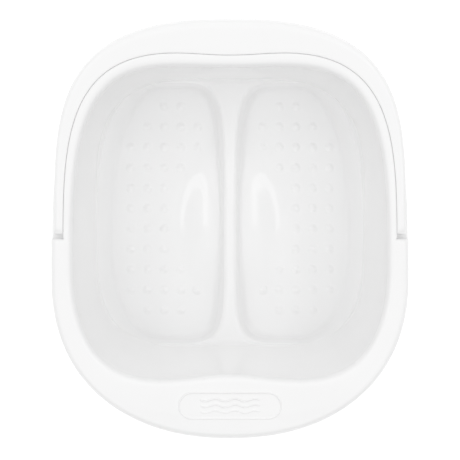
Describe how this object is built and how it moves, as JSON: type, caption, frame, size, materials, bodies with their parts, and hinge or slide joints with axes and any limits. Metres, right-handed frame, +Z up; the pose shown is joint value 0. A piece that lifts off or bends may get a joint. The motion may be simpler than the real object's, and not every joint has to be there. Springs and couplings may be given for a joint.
{
  "type": "pedicure foot bath",
  "caption": "Oval moulded foot bath with two foot wells, massage nubs, arch supports, a front apron and a carry handle that folds flat into the rim.",
  "frame": {"origin": "on the surface the bath stands on, under the middle of its overall length and width", "axes": "+X to the right, +Y towards the folded carry handle, +Z up; the wearer sits at the front, at -Y"},
  "size_m": [0.3588, 0.4224, 0.2],
  "materials": {
    "basin_plastic": "glossy white injection-moulded polypropylene",
    "handle_plastic": "glossy white injection-moulded polypropylene",
    "pad_rubber": "matt light grey thermoplastic rubber"
  },
  "bodies": {
    "tub": {"basin": "basin_plastic", "grip_pad_back_left": "pad_rubber", "grip_pad_back_right": "pad_rubber", "grip_pad_front_left": "pad_rubber", "grip_pad_front_right": "pad_rubber"},
    "handle": {"carry_handle": "handle_plastic"}
  },
  "joints": [
    {"name": "handle_swing", "type": "hinge", "parent": "tub", "child": "handle", "pos_m": [0, 0.001, 0.1926], "axis": [1, 0, 0], "range_deg": [0, 116]}
  ]
}
